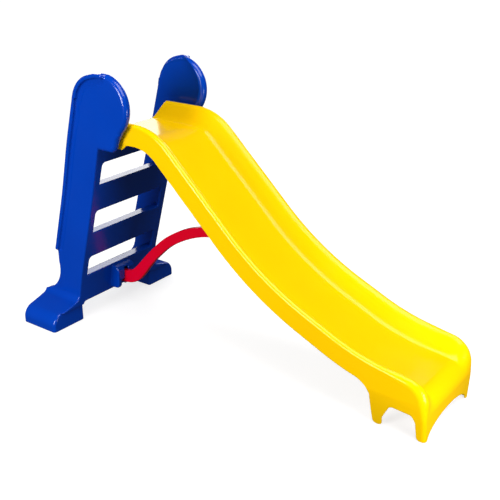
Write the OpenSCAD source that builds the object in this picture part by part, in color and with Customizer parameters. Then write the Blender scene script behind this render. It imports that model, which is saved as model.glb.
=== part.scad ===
// Folding toddler slide: moulded ladder, moulded chute, S-shaped brace and the pins
// that join them. Millimetres. +X from the ladder to the chute's exit, +Y across,
// +Z up, floor at z = 0. Modules work from the ladder's toe line, and place() moves
// the whole to the centre of its footprint.

/* [Ladder] */
// overall width across the feet
foot_span = 600; // [480:1:720]
// height of the top of the handles
handle_top = 870; // [760:1:960]
// half-width of the ladder's side walls
wall_half = 188; // [160:1:220]
// thickness of the ladder's moulded walls
ladder_t = 5; // [3:0.5:8]
// forward lean of the front plane, mm of run per mm of rise
lean = 0.27; // [0.15:0.01:0.4]
// half-width of the step openings
window_half = 159; // [130:1:175]
// depth of a step's box section
step_depth = 36; // [25:1:60]
// radius of the handle outline
handle_r = 100; // [80:1:120]
// inner face of the handles, from the mid-plane
handle_in = 166; // [150:1:180]

/* [Chute] */
// half-width over the rims
chute_half = 160; // [130:1:165]
// thickness of the chute's sheet
chute_t = 5; // [3:0.5:8]
// height of the rim's crest at the platform
rim_top = 722; // [650:1:800]
// slope of the straight run, degrees
slope = 43.7; // [35:0.1:50]
// radius of the hump, at the rim's crest
hump_r = 188; // [150:1:260]
// length of the straight run
run_len = 310; // [200:1:400]
// radius of the bend after it, at the rim's crest
run_r = 934; // [700:1:1200]
// slope where that bend ends, degrees
low_slope = 24; // [15:0.5:30]
// length of the lower straight
low_len = 96; // [60:1:140]
// radius of the run-out, at the rim's crest
out_r = 640; // [500:1:800]
// depth of the deck below the rim's crest
deck_depth = 52; // [40:1:60]
// depth of the skirts below the rim's crest
skirt = 68; // [60:1:90]

/* [Pivots] */
// pivot of the ladder on the chute, forward of the toe line
pivot_x = 180; // [150:1:200]
// pivot height
pivot_z = 680; // [670:1:690]
// radius of the pivot pins
pivot_r = 8; // [5:0.5:10]
// radial running clearance
run_fit = 0.05; // [0.02:0.01:0.1]
// brace hinge under the chute, forward of the toe line
hinge_x = 600; // [560:1:630]
// brace hinge height
hinge_z = 375; // [360:1:385]
// radius of the brace's hinge pin and latch pin
brace_pin_r = 5; // [4:0.5:7]
// half-width of the brace bar
brace_half = 9; // [6:0.5:12]
// height of the brace bar in its slim stretch
brace_h = 27; // [20:1:32]
// height of the brace bar at the latch
brace_foot_h = 45; // [30:1:50]

/* [Hidden] */
$fn = 96;

blue = [0.0, 0.2, 0.72];
yellow = [1.0, 0.85, 0.0];
red = [0.8, 0.0, 0.1];
steel = [0.7, 0.7, 0.72];
navy = [0.05, 0.12, 0.4];

front_x = -20;                 // front plane at the floor
back_x = -155.5;               // rear edge line at the floor
back_lean = 0.282;              // forward lean of that line, mm of run per mm of rise
toe_back = -153;               // rear of the feet
nose_x = 1267;                 // front of the chute
mid_x = (toe_back + nose_x) / 2;
sill_z = [170, 333, 507];      // tread tops
head_z = [239, 411, 581];      // tops of the openings
beam_low = 68;                 // underside of the bottom beam
handle_out = 6;                // handle and rim stand proud of the wall by these
rim_out = 16;
rim_w = 14;                    // width of the rim
rim_over = 1;                  // how far it stands out past the handle's outline
rim_low = 249;                 // its lower end
lip_w = 23;                    // lip left round the front of the handle's inner side
skin_w = 10;                   // outer skin of the handle
shoulder_z = 632;              // underside of the handle, in front of the wall
ladder_top = 638;              // top of the ladder's upper rail

function fx(z) = front_x + lean * z;
function bx(z) = back_x + back_lean * z;
function arc(cx, cz, r, a0, a1, n) =
    [for (i = [0:n]) let (a = a0 + (a1 - a0) * i / n) [cx + r * cos(a), cz + r * sin(a)]];

module place() { translate([-mid_x, 0, 0]) children(); }
// side profile, drawn as x and z, spread from y0 to y1
module prof(y0, y1) {
    translate([0, y1, 0]) rotate([90, 0, 0]) linear_extrude(height = y1 - y0) children();
}
// cross profile, drawn as y and z, spread from x0 to x1
module cross(x0, x1) {
    translate([x0, 0, 0]) rotate([90, 0, 90]) linear_extrude(height = x1 - x0) children();
}
module both() { children(); mirror([0, 1, 0]) children(); }
// pin along y
module rod(x, z, r, y0, y1) { translate([x, y1, z]) rotate([90, 0, 0]) cylinder(r = r, h = y1 - y0); }

// ---------------------------------------------------------------- ladder
head_back = [163, handle_top - handle_r - 4];   // centres of the two rounds of the handle
head_front = [180, handle_top - handle_r];

// side wall: straight rear edge, stepped in below the rim, flared to the foot
module wall_2d() {
    polygon(concat(
        [[fx(beam_low), beam_low], [fx(shoulder_z), shoulder_z], [fx(700), 700], [bx(700), 700],
         [bx(rim_low + 6), rim_low + 6], [bx(rim_low - 6) + 8, rim_low - 6]],
        arc(-172, 182, 96, 14, -78, 10),
        [[toe_back + 6, 60], [-8, 60]]));
}
// the handle's two rounds, joined along the top
module rounds_2d(r) {
    translate(head_back) circle(r = r);
    translate(head_front) circle(r = r);
    polygon([head_back, head_front, head_front + [0, r], head_back + [0, r]]);
}
module head_2d() {
    rounds_2d(handle_r);
    polygon([[bx(shoulder_z), shoulder_z], [214, shoulder_z], [223, shoulder_z + 9],
             head_front + [62, -80], head_front, [bx(head_back[1]), head_back[1]]]);
}
// rim round the back and top of the handle, and down the rear edge
module rim_2d() {
    inner = handle_r - rim_w + rim_over;
    difference() {
        union() {
            rounds_2d(handle_r + rim_over);
            polygon([[bx(rim_low) - rim_over, rim_low], [bx(rim_low) + rim_w, rim_low],
                     [bx(head_back[1]) + rim_w, head_back[1]],
                     [bx(head_back[1]) - rim_over, head_back[1]]]);
        }
        rounds_2d(inner);
        polygon([[bx(rim_low) + rim_w, rim_low - 20], [bx(head_back[1]) + rim_w + 1, head_back[1]],
                 head_back, head_front + [0, 20], head_front + [34, 150], [400, 900],
                 [400, rim_low - 20]]);
    }
}
// pocket in the handle's inner side: open to the rear, with a lip left along the front
module pocket_2d() {
    translate([2 - lip_w, 5]) rounds_2d(handle_r - 2);
    polygon([[bx(590) - 20, 590], [fx(590) - 8, 590], [fx(shoulder_z) - 8, shoulder_z + 10],
             [150, 700], [150, head_back[1]], [bx(head_back[1]) - 20, head_back[1]]]);
}
// C-section of a step: front wall, top and bottom flanges, open to the rear
module step_2d(z0, z1) {
    difference() {
        polygon([[fx(z0), z0], [fx(z1), z1], [fx(z1) - step_depth, z1], [fx(z0) - step_depth, z0]]);
        polygon([[fx(z0) - ladder_t, z0 + ladder_t], [fx(z1) - ladder_t, z1 - ladder_t],
                 [fx(z1) - step_depth - 2, z1 - ladder_t], [fx(z0) - step_depth - 2, z0 + ladder_t]]);
    }
}
module foot_2d(inset = 0) {
    half = foot_span / 2;
    polygon(concat([[167 + inset, -inset], [half - inset, -inset]],
        arc(half - 22, 36, 22 - inset, 0, 74, 6),
        [[wall_half + 14, 74 - inset], [wall_half, 94 - inset], [167 + inset, 94 - inset]]));
}
module foot_side_2d(inset = 0) {
    polygon(concat([[toe_back + inset, -inset], [-inset, -inset], [-inset, 12], [-6 - inset, 46]],
        arc(-26, 74, 20 - inset, 0, 90, 4),
        arc(toe_back + 22, 74, 20 - inset, 90, 180, 4)));
}
module foot_body(inset = 0) {
    intersection() {
        cross(toe_back - 5, 5) foot_2d(inset);
        prof(150, foot_span) foot_side_2d(inset);
    }
}
module foot() {
    difference() {
        foot_body();
        foot_body(ladder_t);
    }
}
latch_x = 42;                  // latch pin, forward of the toe line
latch_z = 115;
slot_half = 24.5;              // half-length of the pin's seat
pin_room = 0.6;                // clearance round the pin in its seat
module boss_block() {
    prof(-40, 40) polygon([[fx(76) - 4, 76], [44, 80], [50, 86], [53, 148], [47, 158],
                           [fx(164) - 4, 164]]);
}
module latch_slot() {
    // seat for the latch pin, open below; the mouth leans the way the pin drops away
    rod(latch_x, latch_z, brace_pin_r + pin_room, -slot_half, slot_half);
    seat = brace_pin_r + pin_room;
    prof(-slot_half, slot_half) polygon([[latch_x - seat, latch_z], [latch_x + seat, latch_z],
                                         [latch_x + 13, latch_z - 22], [latch_x + 24, 60],
                                         [latch_x - 9, 60]]);
    // gap for the bar
    prof(-brace_half - 0.8, brace_half + 0.8) polygon([[17, 60], [17, 140], [24, 150], [60, 152],
                                                       [60, 60]]);
}
module ladder() {
    color(blue) difference() {
        union() {
            both() {
                difference() {
                    union() {
                        prof(wall_half - ladder_t, wall_half) wall_2d();
                        prof(handle_in, wall_half + handle_out) head_2d();
                        // front flange beside the openings
                        prof(window_half, wall_half) polygon([[fx(beam_low), beam_low],
                            [fx(ladder_top), ladder_top], [fx(ladder_top) - ladder_t, ladder_top],
                            [fx(beam_low) - ladder_t, beam_low]]);
                        foot();
                    }
                    prof(handle_in - 1, wall_half + handle_out - skin_w) pocket_2d();
                }
                // boss round the pivot pin in the pocket
                rod(pivot_x, pivot_z, pivot_r + 10, handle_in, wall_half - 1);
                // raised rim along the rear edge and round the top of the handle
                prof(wall_half - 2, wall_half + rim_out) rim_2d();
            }
            for (i = [0:1]) prof(-wall_half + 1, wall_half - 1) step_2d(head_z[i], sill_z[i + 1]);
            prof(-wall_half + 1, wall_half - 1) step_2d(beam_low, sill_z[0]);
            prof(-wall_half + 1, wall_half - 1) step_2d(head_z[2], ladder_top);
            boss_block();
            // ribs behind the boss
            for (y = [-38, 32]) prof(y, y + 6) polygon([[fx(beam_low), beam_low + 2],
                [fx(166), 166], [fx(166) - step_depth + 4, 166],
                [fx(beam_low) - step_depth + 4, beam_low + 2]]);
        }
        latch_slot();
        both() rod(pivot_x, pivot_z, pivot_r, handle_in - 1, handle_in + pin_deep);
    }
}

// ----------------------------------------------------------------- chute
rim_r = 10;                    // round of the rim's outer edge
crest_half = chute_half - rim_r;
deck_half = 98;                // half-width of the flat deck
flat_x0 = 116;                 // rear end of the platform
hump_x = 270;                  // where the hump starts
hump_cz = rim_top - hump_r;
hump_end = [hump_x + hump_r * sin(slope), hump_cz + hump_r * cos(slope)];
run_end = [hump_end[0] + run_len * cos(slope), hump_end[1] - run_len * sin(slope)];
run_c = [run_end[0] + run_r * sin(slope), run_end[1] + run_r * cos(slope)];
low_start = [run_c[0] - run_r * sin(low_slope), run_c[1] - run_r * cos(low_slope)];
low_end = [low_start[0] + low_len * cos(low_slope), low_start[1] - low_len * sin(low_slope)];
out_c = [low_end[0] + out_r * sin(low_slope), low_end[1] + out_r * cos(low_slope)];
exit_slope = 5;                // slope where the run-out ends, degrees
exit_x = out_c[0] - out_r * sin(exit_slope);
exit_z = out_c[1] - out_r * cos(exit_slope);
lip_r = 62;                    // round of the rim over the exit's lip
exit_half = chute_half - 1.5;  // half-width over the exit
leg_half = 144;                // half-width over the legs at the floor
leg_top = 118;                 // height where the legs' taper starts

// the channel's section: y across, h up from the rim's crest; d thins the sheet from both sides
function half_section(d) = concat(
    [[deck_half + 0.4 * d, -deck_depth - d]],
    [for (i = [8:-1:0]) [crest_half + (rim_r - d) * cos(i * 22.5),
                         -rim_r + (rim_r - d) * sin(i * 22.5)]],
    [[chute_half - 3 - d, -skirt + d], [chute_half - chute_t - 3 + d, -skirt + d],
     [chute_half - chute_t + d, -rim_r - 4 + d], [crest_half - rim_r + 7 - d, -rim_r - 4 + d],
     [deck_half + 3 - d, -deck_depth - chute_t + d]]);
function flipped(pts) = [for (i = [len(pts) - 1:-1:0]) [-pts[i][0], pts[i][1]]];
module section(d = 0) { polygon(concat(half_section(d), flipped(half_section(d)))); }
// the section, laid for a sweep about a y axis: radius r at the rim's crest
module bend(c, r, a0, a1, up) {
    translate([c[0], 0, c[1]]) rotate([90, 0, 0]) rotate([0, 0, a0])
        rotate_extrude(angle = a1 - a0) translate([r, 0]) rotate([0, 0, up ? -90 : 90]) section();
}
// a straight stretch; lap runs it on inside its neighbours, thinned by d
module straight(p, len, tilt, lap = 0, d = 0) {
    translate([p[0], 0, p[1]]) rotate([0, tilt, 0]) rotate([90, 0, 90])
        translate([0, 0, -lap]) linear_extrude(height = len + 2 * lap) section(d);
}
// outline of the exit from the side: rim down over the lip, two legs and the arch between
module exit_2d() {
    polygon(concat(
        [[exit_x - 2, exit_z - 1]],
        arc(nose_x - lip_r, exit_z - lip_r - 4, lip_r, 88, 0, 12),
        [[nose_x - 2, 0], [nose_x - 24, 0], [nose_x - 30, 40]],
        arc(nose_x - 52, 54, 22, 0, 90, 5),
        arc(1162, 56, 20, 90, 180, 5),
        [[1138, 0], [1102, 0], [1098, 100], [1080, exit_z - 58], [exit_x - 60, exit_z - 20]]));
}
// the sides' draft, seen from the front: upright above, leaning in to the legs' feet
module draft_2d(inset = 0) {
    half = exit_half - inset;
    foot = leg_half - inset;
    polygon([[-foot, -1], [foot, -1], [half, leg_top], [half, 400], [-half, 400], [-half, leg_top]]);
}
module exit_shell() {
    deck_z = exit_z - deck_depth;
    round_r = 50;
    difference() {
        intersection() {
            prof(-chute_half, chute_half) exit_2d();
            cross(1000, nose_x + 10) draft_2d();
        }
        // channel above the deck
        cross(exit_x - 200, nose_x + 10) polygon([[-deck_half, deck_z], [deck_half, deck_z],
            [crest_half - 5, exit_z - 4], [crest_half - 5, 400], [-crest_half + 5, 400],
            [-crest_half + 5, exit_z - 4]]);
        // rounded lip of the deck
        prof(-deck_half, deck_half) polygon(concat([[nose_x + 5, exit_z]],
            arc(nose_x - round_r, deck_z - round_r, round_r, 0, 90, 8), [[nose_x - round_r, exit_z]]));
        // hollow below the deck
        intersection() {
            prof(-chute_half, chute_half) polygon(concat([[1070, -2], [nose_x - chute_t, -2]],
                arc(nose_x - round_r, deck_z - round_r, round_r - chute_t, 0, 90, 8),
                [[1070, deck_z - chute_t]]));
            cross(1060, nose_x) draft_2d(chute_t);
        }
        // arch between the front legs
        cross(nose_x - 20, nose_x + 5) polygon(concat([[-127, -1], [127, -1]],
            arc(83, 2, 44, 0, 90, 5), arc(-83, 2, 44, 90, 180, 5)));
        // room for the swept channel, which reaches in over the legs
        prof(-crest_half + 3, crest_half - 3) polygon([[1000, leg_top - 48], [1135, leg_top - 48],
            [1135, 140], [1000, 160]]);
        prof(-chute_half - 1, chute_half + 1) polygon([[1000, exit_z - 100], [1060, exit_z - 60],
            [exit_x - 70, exit_z + 60], [1000, 400]]);
    }
}
module lug() {
    // hinge lug under the deck
    prof(brace_half + 1.5, brace_half + 7.5) difference() {
        union() {
            translate([hinge_x, hinge_z]) circle(r = 15);
            polygon([[hinge_x - 15, hinge_z], [hinge_x + 15, hinge_z], [hinge_x + 30, hinge_z - 1],
                     [hinge_x - 34, hinge_z - 1 + 64 * tan(slope)], [hinge_x - 34, hinge_z + 36]]);
        }
        translate([hinge_x, hinge_z]) circle(r = brace_pin_r);
    }
}
module chute() {
    color(yellow) difference() {
        union() {
            straight([flat_x0, rim_top], hump_x - flat_x0, 0);
            bend([hump_x, hump_cz], hump_r, 90, 90 - slope, true);
            straight(hump_end, run_len, slope, 1, 0.15);
            bend(run_c, run_r, 270 - slope, 270 - low_slope, false);
            straight(low_start, low_len, low_slope, 1, 0.15);
            bend(out_c, out_r, 270 - low_slope, 270 - exit_slope, false);
            exit_shell();
            both() {
                lug();
                // thick pads of the skirts round the ladder's pivot
                rod(pivot_x, pivot_z, 17, chute_half - 16, chute_half);
                // hook that rests on the ladder's shoulder
                prof(chute_half - 7.5, chute_half - 1.2) polygon([[158, 664], [158, 652.5], [197, 636],
                    [222, 636], [240, 652], [262, 656], [262, 664]]);
            }
        }
        // rear end of the side walls leans back down to the deck
        prof(-chute_half - 1, chute_half + 1) polygon([[flat_x0 - 5, 640], [flat_x0, 668],
            [flat_x0 + 20, rim_top + 1], [flat_x0 - 5, rim_top + 1]]);
        both() rod(pivot_x, pivot_z, pivot_r + run_fit, chute_half - 20, chute_half + 2);
    }
}

// ----------------------------------------------------------------- brace
// centre line of the S bar from the latch end to the hinge, with its height
bar_pts = [[30, 115, 1], [46, 117, 1], [75, 122, 1], [100, 134, 0.9], [126, 159, 0.75],
           [150, 188, 0.6], [180, 222, 0.5], [212, 254, 0.45], [250, 288, 0.45], [292, 316, 0.45],
           [340, 341, 0.45], [390, 359, 0.35], [440, 369, 0.2], [510, 374, 0], [hinge_x, hinge_z, 0]];
function bar_h(i) = brace_h + (brace_foot_h - brace_h) * bar_pts[i][2];
function bar_n(i) = let (a = bar_pts[max(i - 1, 0)], b = bar_pts[min(i + 1, len(bar_pts) - 1)],
                         d = [b[0] - a[0], b[1] - a[1]]) [-d[1], d[0]] / norm(d);
function bar_edge(i, s) = [bar_pts[i][0], bar_pts[i][1]] + s * bar_n(i) * bar_h(i) / 2;
module brace() {
    color(red) difference() {
        union() {
            prof(-brace_half, brace_half) polygon(concat(
                [for (i = [0:len(bar_pts) - 1]) bar_edge(i, 1)],
                [for (i = [len(bar_pts) - 1:-1:0]) bar_edge(i, -1)]));
            rod(hinge_x, hinge_z, brace_h / 2, -brace_half, brace_half);
            rod(latch_x, latch_z, 18, -brace_half, brace_half);
        }
        rod(hinge_x, hinge_z, brace_pin_r + run_fit, -brace_half - 1, brace_half + 1);
        rod(latch_x, latch_z, brace_pin_r, -brace_half - 1, brace_half + 1);
    }
}
module latch_pin() { color(steel) rod(latch_x, latch_z, brace_pin_r, -23, 23); }
module latch_cap() {
    color(red) difference() {
        rod(latch_x, latch_z, brace_pin_r + 0.5, 19, 24);
        rod(latch_x, latch_z, brace_pin_r - 0.01, 18, 23);
    }
}

// ------------------------------------------------------------ fasteners
pin_in = chute_half - 26;      // inner end of a pivot pin
pin_deep = 15;                 // depth of a pivot pin's socket in the handle
module pivot_pin() { color(steel) rod(pivot_x, pivot_z, pivot_r, pin_in, handle_in + pin_deep); }
module pivot_washer() {
    color(navy) difference() {
        rod(pivot_x, pivot_z, pivot_r + 8, chute_half + 0.3, handle_in);
        rod(pivot_x, pivot_z, pivot_r, chute_half - 1, handle_in + 1);
    }
}
module pivot_cap() {
    color(navy) difference() {
        rod(pivot_x, pivot_z, pivot_r + 5, chute_half - 29, chute_half - 16.4);
        rod(pivot_x, pivot_z, pivot_r, pin_in, chute_half - 16);
    }
}
module brace_hinge_pin() {
    color(steel) {
        rod(hinge_x, hinge_z, brace_pin_r, -brace_half - 7.5, brace_half + 14);
        rod(hinge_x, hinge_z, brace_pin_r + 4, -brace_half - 11, -brace_half - 7.5);
    }
}
module brace_hinge_cap() {
    color(navy) difference() {
        rod(hinge_x, hinge_z, brace_pin_r + 4, brace_half + 7.5, brace_half + 16);
        rod(hinge_x, hinge_z, brace_pin_r, brace_half + 7, brace_half + 14);
    }
}
module brace_washer() {
    color(steel) difference() {
        rod(hinge_x, hinge_z, brace_pin_r + 6, brace_half + 0.2, brace_half + 1.5);
        rod(hinge_x, hinge_z, brace_pin_r, brace_half, brace_half + 2);
    }
}

place() {
    ladder();
    chute();
    brace();
    pivot_pin();  // pivot_pin_left
    mirror([0, 1, 0]) pivot_pin();  // pivot_pin_right
    pivot_washer();  // pivot_washer_left
    mirror([0, 1, 0]) pivot_washer();  // pivot_washer_right
    pivot_cap();  // pivot_cap_left
    mirror([0, 1, 0]) pivot_cap();  // pivot_cap_right
    brace_hinge_pin();
    brace_hinge_cap();
    brace_washer();  // brace_washer_left
    mirror([0, 1, 0]) brace_washer();  // brace_washer_right
    latch_pin();
    latch_cap();  // latch_cap_left
    mirror([0, 1, 0]) latch_cap();  // latch_cap_right
}
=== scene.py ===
import math

import bpy
import numpy as np
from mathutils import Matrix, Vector


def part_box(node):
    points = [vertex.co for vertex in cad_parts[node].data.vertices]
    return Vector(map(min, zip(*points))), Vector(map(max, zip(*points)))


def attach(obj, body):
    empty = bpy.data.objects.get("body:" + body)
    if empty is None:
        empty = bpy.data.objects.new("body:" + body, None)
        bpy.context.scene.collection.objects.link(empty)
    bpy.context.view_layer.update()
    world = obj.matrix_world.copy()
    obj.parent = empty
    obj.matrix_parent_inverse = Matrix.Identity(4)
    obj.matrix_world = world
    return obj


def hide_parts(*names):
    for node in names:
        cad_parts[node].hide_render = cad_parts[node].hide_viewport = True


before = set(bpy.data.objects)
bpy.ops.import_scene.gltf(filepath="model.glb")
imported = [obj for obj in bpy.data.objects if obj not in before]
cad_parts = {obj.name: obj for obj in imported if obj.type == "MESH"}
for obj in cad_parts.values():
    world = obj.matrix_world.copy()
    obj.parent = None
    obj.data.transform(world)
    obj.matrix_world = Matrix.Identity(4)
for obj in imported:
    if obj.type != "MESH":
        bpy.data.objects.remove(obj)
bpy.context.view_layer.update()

# Each moulding is one smooth field over space: negative inside, zero on its skin. The
# fields are written in the side view's own frame, x forward of the ladder's toe line
# and z up from the floor, in metres, and a mesh is laid over the zero of each.

MM = 0.001
FOOT_BACK = -153 * MM                      # rear of the feet in that frame
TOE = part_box("ladder")[0].x - FOOT_BACK    # where the toe line lies in the row frame
CELL = 3 * MM                              # spacing of the points laid over a moulding
FINE_CELL = 2 * MM
SHEET = 6 * MM                             # wall of the mouldings
KEEP_FACES = 0.42                          # share of faces kept where a moulding is plain


# ------------------------------------------------------------------ fields
def join(a, b, r):
    """Union of two fields with a fillet of radius r in the corner between them."""
    return np.maximum(r, np.minimum(a, b)) - np.hypot(np.maximum(r - a, 0), np.maximum(r - b, 0))


def cut(a, b, r):
    """What two fields share, with its edges rounded to radius r."""
    return -join(-a, -b, r)


def hollow(solid, wall):
    """The outer wall of a solid."""
    return np.maximum(solid, -(solid + wall))


def smooth(t):
    t = np.clip(t, 0, 1)
    return t * t * (3 - 2 * t)


def mix(a, b, t):
    return a + (b - a) * t


def segment(x, z, a, b):
    """Distance to the straight line from a to b."""
    ex, ez = b[0] - a[0], b[1] - a[1]
    wx, wz = x - a[0], z - a[1]
    t = np.clip((wx * ex + wz * ez) / (ex * ex + ez * ez), 0, 1)
    return np.hypot(wx - ex * t, wz - ez * t)


def polygon(x, z, points):
    """Distance to a polygon's outline, negative inside."""
    nearest = np.full(np.shape(x), 1e9)
    inside = np.zeros(np.shape(x), bool)
    for a, b in zip(points, points[1:] + points[:1]):
        nearest = np.minimum(nearest, segment(x, z, a, b))
        if a[1] != b[1]:
            crossing = (z < a[1]) != (z < b[1])
            inside ^= crossing & (x < a[0] + (z - a[1]) * (b[0] - a[0]) / (b[1] - a[1]))
    return np.where(inside, -nearest, nearest)


def arc(centre, r, start, end, count):
    """Points round an arc, with its angles in degrees."""
    angles = [math.radians(start + (end - start) * i / count) for i in range(count + 1)]
    return [(centre[0] + r * math.cos(a), centre[1] + r * math.sin(a)) for a in angles]


def slab(t, low, high):
    """The space between two planes."""
    return np.maximum(low - t, t - high)


# ------------------------------------------------------------------ meshes
CORNERS = np.array([[i, j, k] for i in (0, 1) for j in (0, 1) for k in (0, 1)])
EDGES = [(a, b) for a in range(8) for b in range(a + 1, 8)
         if abs(CORNERS[a] - CORNERS[b]).sum() == 1]
HALVINGS = 3
SLACK = 1.5


def near_cells(field, low, high, cell):
    """Whole-number corners of the cells that may hold the skin, found by halving big ones."""
    step = 2 ** HALVINGS
    counts = np.ceil((high - low) / (cell * step)).astype(int)
    cells = np.stack(np.meshgrid(*map(np.arange, counts), indexing="ij"), -1).reshape(-1, 3) * step
    while True:
        reach = step * cell * math.sqrt(3) / 2 * SLACK
        cells = cells[np.abs(field(*(low + (cells + step / 2) * cell).T)) < reach]
        if step == 1:
            return cells, counts * 2 ** HALVINGS + 2
        step //= 2
        cells = (cells[:, None] + CORNERS[None] * step).reshape(-1, 3)


def skin(field, low, high, cell):
    """Points and four-sided faces over the zero of a field, one point to a crossed cell."""
    low, high = np.array(low) - 2 * cell, np.array(high) + 2 * cell
    cells, size = near_cells(field, low, high, cell)
    pitch = np.array([size[1] * size[2], size[2], 1])
    keys = np.unique(((cells[:, None] + CORNERS[None]) @ pitch).ravel())
    at = np.stack([keys // pitch[0], keys % pitch[0] // pitch[1], keys % pitch[1]], -1)
    values = field(*(low + at * cell).T)
    values = values[np.searchsorted(keys, (cells[:, None] + CORNERS[None]) @ pitch)]
    inside = values < 0
    crossed = inside.any(1) & ~inside.all(1)
    cells, values, inside = cells[crossed], values[crossed], inside[crossed]
    order = np.argsort(cells @ pitch)
    cells, values, inside = cells[order], values[order], inside[order]
    total, hits = np.zeros((len(cells), 3)), np.zeros(len(cells))
    for a, b in EDGES:
        changed = inside[:, a] != inside[:, b]
        t = values[changed, a] / (values[changed, a] - values[changed, b])
        total[changed] += CORNERS[a] + t[:, None] * (CORNERS[b] - CORNERS[a])
        hits[changed] += 1
    points = low + (cells + total / hits[:, None]) * cell
    cell_keys, faces = cells @ pitch, []
    for axis in range(3):
        e1, e2 = pitch[(axis + 1) % 3], pitch[(axis + 2) % 3]
        end = int(np.where((CORNERS == np.eye(3)[axis]).all(1))[0][0])
        changed = inside[:, 0] != inside[:, end]
        around = cell_keys[changed, None] - np.array([0, e1, e1 + e2, e2])[None]
        ring = np.minimum(np.searchsorted(cell_keys, around), len(cell_keys) - 1)
        whole = (cell_keys[ring] == around).all(1)
        ring, outward = ring[whole], inside[changed, 0][whole]
        faces += [ring[outward], ring[~outward][:, ::-1]]
    return points, np.concatenate(faces)


def slope_of(field, points, reach):
    """Gradient of a field at each point."""
    steps = np.eye(3) * reach
    return np.stack([(field(*(points + s).T) - field(*(points - s).T)) / (2 * reach)
                     for s in steps], -1)


def settle(field, points, cell, rounds=3):
    """Moves points onto the zero of a field."""
    for _ in range(rounds):
        g = slope_of(field, points, cell / 10)
        push = field(*points.T) / np.maximum((g * g).sum(1), 0.05)
        points = points - np.clip(push, -cell / 2, cell / 2)[:, None] * g
    return points


def moulding(name, field, node, cell, keep=1.0):
    """An object whose mesh lies on a field, in the space of the CAD node that it stands for."""
    low, high = (np.array(c) - (TOE, 0, 0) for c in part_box(node))
    points, faces = skin(field, low, high, cell)
    points = settle(field, points, cell)
    mesh = bpy.data.meshes.new(name)
    mesh.from_pydata(points, [], faces.tolist())
    thing = bpy.data.objects.new(name, mesh)
    bpy.context.scene.collection.objects.link(thing)
    if keep < 1:
        thin = thing.modifiers.new("thin", "DECIMATE")
        thin.ratio = keep
        graph = bpy.context.evaluated_depsgraph_get()
        thing.data = bpy.data.meshes.new_from_object(thing.evaluated_get(graph))
        thing.modifiers.clear()
        bpy.data.meshes.remove(mesh)
    mesh = thing.data
    co = np.zeros(len(mesh.vertices) * 3)
    mesh.vertices.foreach_get("co", co)
    points = settle(field, co.reshape(-1, 3), cell, 1)
    normals = slope_of(field, points, cell / 10)
    normals /= np.maximum(np.linalg.norm(normals, axis=1, keepdims=True), 1e-9)
    points[:, 0] += TOE
    mesh.vertices.foreach_set("co", points.ravel())
    mesh.polygons.foreach_set("use_smooth", np.ones(len(mesh.polygons), bool))
    mesh.update()
    mesh.normals_split_custom_set_from_vertices(normals.tolist())
    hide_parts(node)
    return thing


# ------------------------------------------------------------------- chute
RIM_TOP = 722 * MM
SLOPE = math.radians(43.7)
LOW_SLOPE = math.radians(24)
EXIT_SLOPE = math.radians(5)
HUMP_X, HUMP_R = 270 * MM, 188 * MM
RUN_LENGTH, RUN_R = 310 * MM, 934 * MM
LOW_LENGTH, OUT_R = 96 * MM, 640 * MM
DECK_DEPTH, SKIRT_DEPTH = 52 * MM, 68 * MM
DECK_HALF, CREST_HALF = 92 * MM, 149 * MM
CHUTE_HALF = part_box("chute")[1].y
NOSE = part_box("chute")[1].x - TOE
PLATFORM_X, REAR_RAKE = 116 * MM, 0.37
LEG_TOP, LEAN_POWER = 118 * MM, 1.3        # below this height the sides curve in
REAR_FOOT_HALF, FRONT_FOOT_HALF = 136 * MM, 146 * MM
LEGS_FROM, LEGS_FULL = 1.00, 1.08          # where along the chute that lean sets in
REAR_LEG_X, FRONT_LEG_X = 1.10, 1.25
DISH = 0.06                                # share of the depth taken by the dish of the deck
RUN_CORNER, EXIT_CORNER = 11 * MM, 26 * MM  # rounds of the rims' outer edges
EDGE_R = 2.6 * MM                          # round of the mouldings' trimmed edges
PIVOT, PIVOT_HOLE_R, PIVOT_PAD_R = (180 * MM, 680 * MM), 8.6 * MM, 17 * MM
HINGE, LUG_R = (600 * MM, 375 * MM), 15 * MM
BRACE_HALF, BRACE_HOLE_R = 9 * MM, 4.9 * MM
NOSE_R, LIP_R = 62 * MM, 48 * MM           # rounds of the rim and of the deck over the exit
FRONT_ARCH_HALF, FRONT_ARCH_TOP = 127 * MM, 46 * MM
FRONT_ARCH_FROM = 1.20
HOOK_IN, HOOK_OUT = 152.5 * MM, 158.8 * MM
PIVOT_HOLE_IN, PIVOT_PAD_IN, PIVOT_PAD_OUT = 143 * MM, 144 * MM, 159.5 * MM
LUG_IN, LUG_OUT = BRACE_HALF + 1.6 * MM, BRACE_HALF + 7.5 * MM

LEG_BLOCK = [(1.060, 0.215), (1.098, 0.100), (1.105, -0.02), (1.300, -0.02), (1.300, 0.230)]
SIDE_ARCH = [(1.146, -0.03), (1.150, 0.026), (1.170, 0.065), (1.216, 0.062), (1.221, 0.052),
             (1.226, -0.03)]
SIDE_ARCH_ROUND = 16 * MM
HOOK = [(0.162, 0.672), (0.162, 0.655), (0.199, 0.640), (0.220, 0.640), (0.238, 0.655),
        (0.262, 0.662), (0.262, 0.672)]
LUG_WEB = [(0.585, 0.375), (0.615, 0.375), (0.622, 0.400), (0.566, 0.445)]


def along(slope):
    """Unit vectors down a slope and square to it."""
    return Vector((math.cos(slope), -math.sin(slope))), Vector((math.sin(slope), math.cos(slope)))


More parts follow.
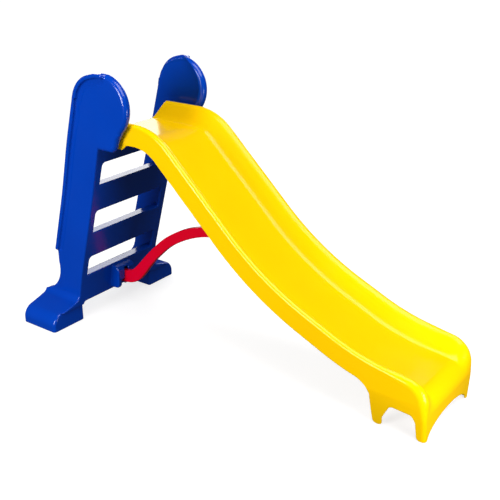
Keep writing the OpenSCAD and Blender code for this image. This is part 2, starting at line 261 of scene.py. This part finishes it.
# the rim's crest line: platform, hump, straight run, bend, lower straight, run-out, exit
RUN_WAY, RUN_UP = along(SLOPE)
LOW_WAY, LOW_UP = along(LOW_SLOPE)
EXIT_WAY, EXIT_UP = along(EXIT_SLOPE)
HUMP_C = Vector((HUMP_X, RIM_TOP - HUMP_R))
RUN_START = HUMP_C + HUMP_R * RUN_UP
RUN_END = RUN_START + RUN_LENGTH * RUN_WAY
RUN_C = RUN_END + RUN_R * RUN_UP
LOW_START = RUN_C - RUN_R * LOW_UP
LOW_END = LOW_START + LOW_LENGTH * LOW_WAY
OUT_C = LOW_END + OUT_R * LOW_UP
EXIT = OUT_C - OUT_R * EXIT_UP


def measure(x, z, start, way):
    """Distance from a point in one direction."""
    return (x - start[0]) * way[0] + (z - start[1]) * way[1]


def over_crest(x, z):
    """Height over the rim's crest line, square to it."""
    stretches = [
        (x < HUMP_X, z - RIM_TOP),
        (measure(x, z, RUN_START, RUN_WAY) < 0, np.hypot(x - HUMP_C[0], z - HUMP_C[1]) - HUMP_R),
        (measure(x, z, RUN_END, RUN_WAY) < 0, measure(x, z, RUN_START, RUN_UP)),
        (measure(x, z, LOW_START, LOW_WAY) < 0, RUN_R - np.hypot(x - RUN_C[0], z - RUN_C[1])),
        (measure(x, z, LOW_END, LOW_WAY) < 0, measure(x, z, LOW_START, LOW_UP)),
        (measure(x, z, EXIT, EXIT_WAY) < 0, OUT_R - np.hypot(x - OUT_C[0], z - OUT_C[1]))]
    return np.select(*zip(*stretches), measure(x, z, EXIT, EXIT_UP))


def chute_outline(x, z, top):
    """Side view of the chute: the skirts, and the legs with the arch between them."""
    arch = polygon(x, z, SIDE_ARCH) - SIDE_ARCH_ROUND
    legs = cut(cut(polygon(x, z, LEG_BLOCK), -arch, 5 * MM), -z, 12 * MM)
    return join(-(top + SKIRT_DEPTH), legs, 30 * MM)


def chute_half(x, z):
    """Half-width over the sides, which lean in towards the legs' feet."""
    foot = mix(REAR_FOOT_HALF, FRONT_FOOT_HALF,
               smooth((x - REAR_LEG_X) / (FRONT_LEG_X - REAR_LEG_X)))
    lean_in = np.clip((LEG_TOP - z) / LEG_TOP, 0, 1) ** LEAN_POWER
    set_in = smooth((x - LEGS_FROM) / (LEGS_FULL - LEGS_FROM))
    return CHUTE_HALF - (CHUTE_HALF - foot) * lean_in * set_in


def chute_field(x, y, z):
    ay = np.abs(y)
    top = over_crest(x, z)
    rim = cut(top, x - NOSE, NOSE_R)
    deck = cut(top + DECK_DEPTH, x - NOSE, LIP_R)
    t = np.clip((ay - DECK_HALF) / (CREST_HALF - DECK_HALF), 0, 1)
    rise = smooth(t) * (1 - DISH) + DISH * np.clip(ay / CREST_HALF, 0, 1) ** 2
    tilt = (rim - deck) * 6 * t * (1 - t) / (CREST_HALF - DECK_HALF)
    upper = mix(deck, rim, rise) / np.sqrt(1 + tilt * tilt)
    corner = mix(RUN_CORNER, EXIT_CORNER, smooth((x - 1.13) / 0.12) * smooth((z - 0.06) / 0.08))
    sheet = hollow(cut(upper, ay - chute_half(x, z), corner), SHEET)
    sheet = cut(sheet, chute_outline(x, z, top), EDGE_R)
    # arch between the front legs, a half ellipse
    arch = (np.hypot(ay / FRONT_ARCH_HALF, z / FRONT_ARCH_TOP) - 1) * (FRONT_ARCH_TOP - 2 * MM)
    sheet = cut(sheet, -np.maximum(arch, FRONT_ARCH_FROM - x), EDGE_R)
    # the platform's rear end leans forward from deck to rim
    rear = (PLATFORM_X - x + (z - RIM_TOP + DECK_DEPTH) * REAR_RAKE) / math.hypot(1, REAR_RAKE)
    sheet = cut(sheet, rear, EDGE_R)
    # hook that rests on the ladder's shoulder, and the pad round the pivot
    hook = polygon(x, z, HOOK) - 3 * MM
    sheet = join(sheet, cut(hook, slab(ay, HOOK_IN, HOOK_OUT), 2 * MM), 2 * MM)
    pivot = np.hypot(x - PIVOT[0], z - PIVOT[1])
    pad = cut(pivot - PIVOT_PAD_R, slab(ay, PIVOT_PAD_IN, PIVOT_PAD_OUT), 2 * MM)
    sheet = join(sheet, pad, 2 * MM)
    sheet = np.maximum(sheet, -np.maximum(pivot - PIVOT_HOLE_R, PIVOT_HOLE_IN - ay))
    # lugs for the brace's hinge
    hinge = np.hypot(x - HINGE[0], z - HINGE[1])
    web = np.maximum(polygon(x, z, LUG_WEB), top + DECK_DEPTH + SHEET / 2)
    lug = cut(join(hinge - LUG_R, web, 6 * MM), slab(ay, LUG_IN, LUG_OUT), 1.5 * MM)
    return np.minimum(sheet, np.maximum(lug, BRACE_HOLE_R - hinge))


# ------------------------------------------------------------------ ladder
WALL_HALF, WINDOW_HALF = 188 * MM, 159 * MM
HANDLE_IN, HANDLE_R = 166 * MM, 100 * MM
FRONT_X, LEAN = -20 * MM, 0.27
REAR_X, REAR_LEAN = -155.5 * MM, 0.282
SILLS = [0.170, 0.333, 0.507]              # bottoms and tops of the step openings
HEADS = [0.239, 0.411, 0.581]
BEAM_LOW, LADDER_TOP = 0.068, 0.638
STEP_DEPTH, LIP = 36 * MM, 10 * MM         # depth of a step, and of the flange round an opening
HEAD_BACK = (0.1645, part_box("ladder")[1].z - HANDLE_R - 5 * MM)
HEAD_FRONT = (0.180, HEAD_BACK[1] + 4 * MM)
FOOT_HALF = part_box("ladder")[1].y
FOOT_IN, FOOT_TOP, FOOT_R = 167 * MM, 94 * MM, 20 * MM
INSTEP_Z, INSTEP_FALL, TOE_R = 82 * MM, 0.28, 32 * MM    # the foot's top, seen from the front
SWELL_FROM, SWELL_RISE = 0.42, 0.26        # heights over which the wall swells to the handle
LATCH, LATCH_SEAT_R = (42 * MM, 115 * MM), 6.2 * MM
BOSS_HALF, SEAT_HALF = 40 * MM, 24.8 * MM
WALL = 6 * MM
PANEL_OUT, RIM_OUT = 6 * MM, 17 * MM       # how far handle and rim stand proud of the wall
RIM_OUT_LOW = 9 * MM                       # the same for the rim, at its lower end
RIM_WIDTH = 14 * MM
HANDLE_EDGE, NECK_FILLET = 13 * MM, 12 * MM
LIP_WIDTH, SKIN = 23 * MM, 9 * MM          # lip round the handle's pocket, and its outer skin
PIVOT_BOSS_R = 18 * MM
GROOVE_HALF, GROOVE_R, GROOVE_DEPTH = 5 * MM, 8 * MM, 2 * MM    # groove inside the rim


def rear_x(z):
    return REAR_X + REAR_LEAN * z


WALL_OUTLINE = ([(0.2, BEAM_LOW - 0.01), (0.2, 0.70), (rear_x(0.70), 0.70), (rear_x(0.255), 0.255),
                 (rear_x(0.243) + 0.008, 0.243)]
                + arc((-0.172, 0.182), 0.096, 14, -78, 10) + [(-0.147, BEAM_LOW - 0.01)])
TANGENT_Z = HEAD_BACK[1] + 0.027           # where the handle's round leaves the rear edge
NECK = [(rear_x(0.58), 0.58), (0.120, 0.58), (0.135, 0.632), (0.208, 0.632), (0.219, 0.641),
        (HEAD_FRONT[0] + 0.060, HEAD_FRONT[1] - 0.080), HEAD_FRONT, HEAD_BACK,
        (rear_x(TANGENT_Z), TANGENT_Z)]
NECK_POCKET = [(rear_x(0.56) - 0.03, 0.56), (0.105, 0.56), (0.140, 0.645), (0.150, 0.700),
               (0.150, HEAD_BACK[1]), (rear_x(HEAD_BACK[1]) - 0.03, HEAD_BACK[1])]
RIM_ZONE = [(-0.3, 0.249), (rear_x(0.249) + 0.03, 0.249), (rear_x(0.7) + 0.03, 0.7), HEAD_BACK,
            HEAD_FRONT, (HEAD_FRONT[0] + 0.030, HEAD_FRONT[1] + 0.150), (-0.3, 1.1)]
HOLLOW_REACH = 14 * MM                     # how far the rim's hollow runs on past that zone


def across(ay, z):
    """Front view of one side: the wall, swelling to the handle and flaring to the foot."""
    swell = PANEL_OUT * smooth((z - SWELL_FROM) / SWELL_RISE)
    foot_top = cut(z - INSTEP_Z + (ay - WALL_HALF) * INSTEP_FALL, ay - FOOT_HALF, TOE_R)
    return join(ay - WALL_HALF - swell, foot_top, 20 * MM), swell


def windows(ay, z):
    """The step openings, and the spaces under the bottom beam and over the top one."""
    spaces = [(-1, BEAM_LOW, FOOT_IN)] + [(s, h, WINDOW_HALF) for s, h in zip(SILLS, HEADS)]
    spaces.append((LADDER_TOP, 2, HANDLE_IN))
    fields = [cut(cut(low - z, ay - half, 4 * MM), z - high, 12 * MM) for low, high, half in spaces]
    return np.minimum.reduce(fields)


def steps(front, ay, z):
    """Flanges of the beam, the two steps and the top rail: channel sections, open to the rear."""
    levels = [(z1 - WALL, z1) for z1 in SILLS + [LADDER_TOP]]
    levels += [(z0, z0 + WALL) for z0 in HEADS + [BEAM_LOW]]
    flanges = np.minimum.reduce([slab(z, *level) for level in levels])
    flanges = cut(flanges, slab(front, -STEP_DEPTH, -LIP / 2), 2 * MM)
    return np.maximum(flanges, ay - WALL_HALF + 2 * MM)


def handle_and_rim(body, x, ay, z, front, swell):
    """Adds the rounded handle, its pocket on the inner side, and the rim round its outer side."""
    head = segment(x, z, HEAD_BACK, HEAD_FRONT) - HANDLE_R
    fillet = NECK_FILLET * smooth((x - 0.14) / 0.05)              # none along the straight rear
    head = join(head, polygon(x, z, NECK), fillet)
    pocket = segment(x + LIP_WIDTH - 2 * MM, z - 5 * MM, HEAD_BACK, HEAD_FRONT) - HANDLE_R + 2 * MM
    pocket = join(pocket, polygon(x, z, NECK_POCKET), 15 * MM)
    boss = np.hypot(x - PIVOT[0], z - PIVOT[1]) - PIVOT_BOSS_R
    pocket = cut(pocket, -boss, 6 * MM)
    handle = cut(head, slab(ay, HANDLE_IN, WALL_HALF + swell), HANDLE_EDGE)
    handle = cut(handle, -np.maximum(pocket, ay - WALL_HALF - swell + SKIN), 5 * MM)
    body = np.minimum(body, handle)
    rear = (rear_x(z) - x) / math.hypot(1, REAR_LEAN)
    outline = np.minimum(head, np.maximum(np.maximum(rear, front), z - 0.70))
    zone = polygon(x, z, RIM_ZONE)
    middle = RIM_WIDTH + GROOVE_HALF + 4 * MM
    groove = np.hypot(np.maximum(np.abs(outline + middle) - GROOVE_HALF, 0),
                      ay - WALL_HALF - swell - GROOVE_R + GROOVE_DEPTH) - GROOVE_R
    body = cut(body, -cut(groove, zone, 4 * MM), 3 * MM)
    proud = mix(RIM_OUT_LOW, RIM_OUT, swell / PANEL_OUT)
    rim = cut(slab(outline, -RIM_WIDTH, 0), slab(ay, WALL_HALF - 4 * MM, WALL_HALF + proud), 6 * MM)
    body = join(body, cut(rim, zone, 6 * MM), 7 * MM)
    hollow_rim = np.maximum(4 * MM - RIM_WIDTH - outline, ay - WALL_HALF - proud + WALL)
    return cut(body, -cut(hollow_rim, zone + HOLLOW_REACH, 3 * MM), 3 * MM)


BOSS = [(-0.004, 0.080), (0.041, 0.084), (0.046, 0.090), (0.049, 0.146), (0.043, 0.154),
        (0.018, 0.160)]
SLOT = [(LATCH[0] - LATCH_SEAT_R, LATCH[1]), (LATCH[0] + LATCH_SEAT_R, LATCH[1]),
        (LATCH[0] + 0.0135, LATCH[1] - 0.022), (LATCH[0] + 0.025, 0.060),
        (LATCH[0] - 0.0095, 0.060)]
BAR_GAP = [(0.016, 0.055), (0.016, 0.141), (0.024, 0.151), (0.070, 0.153), (0.070, 0.055)]


def latch_boss(body, x, ay, z):
    """Adds the boss on the beam that takes the brace's pin, with its slot open below."""
    boss = polygon(x, z, BOSS) - 4 * MM
    body = join(body, cut(boss, ay - BOSS_HALF, 4 * MM), 3 * MM)
    slot = np.minimum(polygon(x, z, SLOT), np.hypot(x - LATCH[0], z - LATCH[1]) - LATCH_SEAT_R)
    body = cut(body, -cut(slot, ay - SEAT_HALF, 1 * MM), 1 * MM)
    gap = cut(polygon(x, z, BAR_GAP), ay - BRACE_HALF - 1 * MM, 1 * MM)
    return cut(body, -gap, 1 * MM)


def ladder_field(x, y, z):
    ay = np.abs(y)
    front = (x - FRONT_X - LEAN * z) / math.hypot(1, LEAN)
    side, swell = across(ay, z)
    solid = cut(join(front, x + 0.5 * MM, 30 * MM), side, 6 * MM)
    solid = cut(solid, -windows(ay, z), 4 * MM)
    tray = hollow(solid, WALL)
    tray = np.maximum(tray, np.minimum(-(front + LIP), WALL_HALF - 2 * WALL - ay))
    tray = cut(tray, polygon(x, z, WALL_OUTLINE), 2 * MM)
    body = np.minimum(tray, steps(front, ay, z))
    foot = cut(cut(slab(x, FOOT_BACK, -0.5 * MM), z - FOOT_TOP, FOOT_R), side, 9 * MM)
    foot = hollow(cut(foot, FOOT_IN - ay, 5 * MM), WALL)
    body = np.minimum(body, cut(foot, -z, 2 * MM))
    body = handle_and_rim(body, x, ay, z, front, swell)
    return latch_boss(body, x, ay, z)


# ------------------------------------------------------------------- brace
# centre line of the S bar from the latch end to the hinge: x, z and depth
BAR = [(0.030, 0.115, 0.045), (0.046, 0.117, 0.045), (0.075, 0.122, 0.045), (0.100, 0.134, 0.043),
       (0.126, 0.159, 0.041), (0.150, 0.188, 0.038), (0.180, 0.222, 0.036), (0.212, 0.254, 0.035),
       (0.250, 0.288, 0.035), (0.292, 0.316, 0.035), (0.340, 0.341, 0.035), (0.390, 0.359, 0.033),
       (0.440, 0.369, 0.031), (0.510, 0.374, 0.027), (*HINGE, 0.027)]
CURVE_STEPS = 4
BAR_END, BAR_EDGE, EYE_R = 26 * MM, 3.5 * MM, 18 * MM
HINGE_HOLE_R = 5.4 * MM


def smooth_line(points, steps):
    """A curve through the points, as short straight pieces."""
    ends = [points[0]] + list(points) + [points[-1]]
    line = []
    for p0, p1, p2, p3 in zip(ends, ends[1:], ends[2:], ends[3:]):
        for i in range(steps):
            t = i / steps
            line.append(tuple(
                0.5 * (2 * b + (c - a) * t + (2 * a - 5 * b + 4 * c - d) * t * t
                       + (3 * b - a - 3 * c + d) * t ** 3)
                for a, b, c, d in zip(p0, p1, p2, p3)))
    return line + [points[-1]]


BAR_LINE = smooth_line(BAR, CURVE_STEPS)


def brace_field(x, y, z):
    ay = np.abs(y)
    pieces = [segment(x, z, a[:2], b[:2]) - (a[2] + b[2]) / 4
              for a, b in zip(BAR_LINE, BAR_LINE[1:])]
    profile = np.maximum(np.minimum.reduce(pieces), BAR_END - x)
    latch = np.hypot(x - LATCH[0], z - LATCH[1])
    hinge = np.hypot(x - HINGE[0], z - HINGE[1])
    bar = cut(np.minimum(profile, latch - EYE_R), ay - BRACE_HALF, BAR_EDGE)
    return np.maximum(bar, np.maximum(HINGE_HOLE_R - hinge, BRACE_HOLE_R - latch))


# --------------------------------------------------------------- materials
class Nodes:
    """A material's node tree, with short calls to add and join nodes."""

    def __init__(self, name):
        self.material = bpy.data.materials.new(name)
        self.material.use_nodes = True
        self.tree = self.material.node_tree
        self.shader = self.tree.nodes["Principled BSDF"]
        self.place = self.add("ShaderNodeTexCoord").outputs["Object"]

    def add(self, kind, **settings):
        node = self.tree.nodes.new(kind)
        for key, value in settings.items():
            setattr(node, key, value)
        return node

    def link(self, a, b):
        self.tree.links.new(a, b)

    def noise(self, scale, detail=3.0, roughness=0.5, stretch=(1, 1, 1)):
        mapping = self.add("ShaderNodeMapping")
        mapping.inputs["Scale"].default_value = stretch
        self.link(self.place, mapping.inputs["Vector"])
        node = self.add("ShaderNodeTexNoise")
        node.inputs["Scale"].default_value = scale
        node.inputs["Detail"].default_value = detail
        node.inputs["Roughness"].default_value = roughness
        self.link(mapping.outputs["Vector"], node.inputs["Vector"])
        return node.outputs["Fac"]

    def spread(self, value, low, high, to_low, to_high):
        """value from low..high mapped to to_low..to_high."""
        node = self.add("ShaderNodeMapRange")
        for socket, number in zip(("From Min", "From Max", "To Min", "To Max"),
                                  (low, high, to_low, to_high)):
            node.inputs[socket].default_value = number
        self.link(value, node.inputs["Value"])
        return node.outputs["Result"]

    def blend(self, factor, a, b):
        """A colour between a and b, which are colours or sockets."""
        node = self.add("ShaderNodeMix", data_type="RGBA")
        for socket, colour in ((node.inputs[6], a), (node.inputs[7], b)):
            if isinstance(colour, tuple):
                socket.default_value = (*colour, 1)
            else:
                self.link(colour, socket)
        self.link(factor, node.inputs[0])
        return node.outputs[2]

    def sum(self, a, b, scale=1.0):
        node = self.add("ShaderNodeMath", operation="MULTIPLY_ADD")
        self.link(b, node.inputs[0])
        node.inputs[1].default_value = scale
        self.link(a, node.inputs[2])
        return node.outputs[0]

    def bump(self, height, strength, distance):
        node = self.add("ShaderNodeBump")
        node.inputs["Strength"].default_value = strength
        node.inputs["Distance"].default_value = distance
        self.link(height, node.inputs["Height"])
        self.link(node.outputs["Normal"], self.shader.inputs["Normal"])


def plastic(name, colour, deep, gloss=0.2, grain=1.0, specular=0.5):
    """Moulded polyethylene: pigment clouds, a faint orange-peel skin, rubs and fine scratches."""
    n = Nodes(name)
    clouds = n.spread(n.noise(5.0, 4.0), 0.35, 0.65, 0, 1)
    tone = n.blend(clouds, colour, deep)
    pale = tuple(min(1.0, c * 1.1 + 0.006) for c in colour)
    edge = n.spread(n.add("ShaderNodeNewGeometry").outputs["Pointiness"], 0.53, 0.60, 0, 0.4)
    n.link(n.blend(edge, tone, pale), n.shader.inputs["Base Color"])
    scratches = n.spread(n.noise(26.0, 6.0, 0.7, (0.6, 9, 0.6)), 0.56, 0.72, 0, 1)
    rubs = n.spread(n.noise(9.0, 5.0, 0.6), 0.3, 0.7, gloss - 0.04, gloss + 0.07)
    n.link(n.sum(rubs, scratches, 0.04), n.shader.inputs["Roughness"])
    skin_height = n.sum(n.noise(170.0, 2.0), n.noise(900.0, 2.0), 0.35)
    n.bump(n.sum(skin_height, scratches, -0.05), 0.10 * grain, 0.3 * MM)
    n.shader.inputs["Specular IOR Level"].default_value = specular
    n.shader.inputs["IOR"].default_value = 1.5
    return n.material


def metal(name, colour):
    """Turned steel: rings of fine tool marks round the pin, and a little tarnish."""
    n = Nodes(name)
    tarnish = n.spread(n.noise(60.0, 5.0), 0.4, 0.7, 0, 1)
    n.link(n.blend(tarnish, colour, tuple(c * 0.8 for c in colour)), n.shader.inputs["Base Color"])
    marks = n.noise(40.0, 4.0, 0.6, (1, 60, 1))
    n.link(n.spread(marks, 0.3, 0.7, 0.24, 0.42), n.shader.inputs["Roughness"])
    n.bump(marks, 0.15, 0.1 * MM)
    n.shader.inputs["Metallic"].default_value = 1.0
    return n.material


BLUE, BLUE_DEEP = (0.0, 0.046, 0.42), (0.0, 0.042, 0.39)
YELLOW, YELLOW_DEEP = (0.94, 0.57, 0.0), (0.93, 0.55, 0.0)
RED, RED_DEEP = (0.72, 0.0, 0.018), (0.68, 0.0, 0.017)
NAVY, NAVY_DEEP = (0.004, 0.020, 0.16), (0.003, 0.015, 0.12)
STEEL = (0.62, 0.62, 0.64)

blue = plastic("blue_moulding", BLUE, BLUE_DEEP, 0.14, 0.5, 0.45)
yellow = plastic("yellow_moulding", YELLOW, YELLOW_DEEP, 0.15, 0.5, 0.22)
red = plastic("red_moulding", RED, RED_DEEP, 0.15, 0.5, 0.4)
nylon = plastic("navy_nylon", NAVY, NAVY_DEEP, 0.32, 1.4, 0.4)
steel = metal("turned_steel", STEEL)

# ------------------------------------------------------------------ pieces
PIECES = [("ladder_moulding", ladder_field, "ladder", CELL, KEEP_FACES, blue, "blue_plastic"),
          ("chute_moulding", chute_field, "chute", CELL, KEEP_FACES, yellow, "yellow_plastic"),
          ("brace_bar", brace_field, "brace", FINE_CELL, 1.0, red, "red_plastic")]
for name, field, node, cell, keep, material, slot in PIECES:
    piece = moulding(name, field, node, cell, keep)
    piece.data.materials.append(material)
    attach(piece, node)

# the last word found in a node's name gives its finish
FINISHES = {"pin": steel, "brace_washer": steel, "pivot_washer": nylon, "cap": nylon,
            "latch_cap": red}
for node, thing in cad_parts.items():
    for word, material in FINISHES.items():
        if word in node:
            for socket in thing.material_slots:
                socket.material = material

# ------------------------------------------------------------------- stage
FLOOR_R, FLOOR_SIDES = 2.4, 96
PAPER, PAPER_SHADE, PAPER_GLOW = (0.40, 0.40, 0.40), (0.42, 0.42, 0.42), 0.72
floor_mesh = bpy.data.meshes.new("floor")
floor_mesh.from_pydata([(x, y, 0) for x, y in arc((0, 0), FLOOR_R, 0, 360, FLOOR_SIDES)[:-1]], [],
                       [range(FLOOR_SIDES)])
floor = bpy.data.objects.new("floor", floor_mesh)
bpy.context.scene.collection.objects.link(floor)
paper = Nodes("pale_floor")
paper_tone = paper.spread(paper.noise(3.0, 2.0), 0.3, 0.7, 0, 1)
paper.link(paper.blend(paper_tone, PAPER, PAPER_SHADE), paper.shader.inputs["Base Color"])
paper.shader.inputs["Roughness"].default_value = 0.8
paper.shader.inputs["Emission Color"].default_value = (1, 1, 1, 1)
paper.shader.inputs["Emission Strength"].default_value = PAPER_GLOW
floor.visible_glossy = False
floor.visible_diffuse = False
floor_mesh.materials.append(paper.material)


def area_light(name, place, aim, size, power):
    """A soft box, out of the camera's own sight."""
    lamp = bpy.data.lights.new(name, "AREA")
    lamp.shape, lamp.size, lamp.size_y, lamp.energy = "RECTANGLE", *size, power
    thing = bpy.data.objects.new(name, lamp)
    thing.location = place
    thing.rotation_euler = (Vector(aim) - Vector(place)).to_track_quat("-Z", "Y").to_euler()
    thing.visible_camera = False
    bpy.context.scene.collection.objects.link(thing)


area_light("key", (-0.5, -2.9, 1.1), (0, 0, 0.4), (1.2, 1.2), 80)
area_light("top", (1.0, -0.2, 2.5), (0.3, 0, 0.3), (2.0, 2.0), 66)
area_light("back", (-1.9, 2.6, 1.5), (0, 0, 0.4), (3.6, 1.5), 60)
area_light("front", (1.35, -0.30, 0.22), (0.70, 0, 0.08), (0.4, 0.4), 6.5)

world = bpy.data.worlds.new("studio")
bpy.context.scene.world = world
world.use_nodes = True
sky = world.node_tree
# the room's light, the white wall that the camera sees, and what shiny faces reflect
ROOM_LIGHT, WALL_WHITE, SHINE = 0.13, 1.05, 0.04
room = sky.nodes["Background"]
wall = sky.nodes.new("ShaderNodeBackground")
shine = sky.nodes.new("ShaderNodeBackground")
for shade, strength in ((room, ROOM_LIGHT), (wall, WALL_WHITE), (shine, SHINE)):
    shade.inputs["Strength"].default_value = strength
    shade.inputs["Color"].default_value = (1, 1, 1, 1)
seen = sky.nodes.new("ShaderNodeLightPath")
shown = room.outputs[0]
for ray, shade in (("Is Glossy Ray", shine), ("Is Camera Ray", wall)):
    choose = sky.nodes.new("ShaderNodeMixShader")
    sky.links.new(seen.outputs[ray], choose.inputs[0])
    sky.links.new(shown, choose.inputs[1])
    sky.links.new(shade.outputs[0], choose.inputs[2])
    shown = choose.outputs[0]
sky.links.new(shown, sky.nodes["World Output"].inputs["Surface"])
bpy.context.scene.view_settings.view_transform = "Standard"

# ------------------------------------------------------------------ camera
CAMERA_AT = (1.4353, -1.9404, 1.3462)
CAMERA_TURN = (67.321, 0, 35.929)          # degrees
SENSOR, FOCAL_LENGTH = 36, 60.89           # millimetres
lens = bpy.data.cameras.new("camera")
lens.sensor_width = SENSOR
lens.lens = FOCAL_LENGTH
camera = bpy.data.objects.new("camera", lens)
camera.location = CAMERA_AT
camera.rotation_euler = [math.radians(a) for a in CAMERA_TURN]
bpy.context.scene.collection.objects.link(camera)
bpy.context.scene.camera = camera
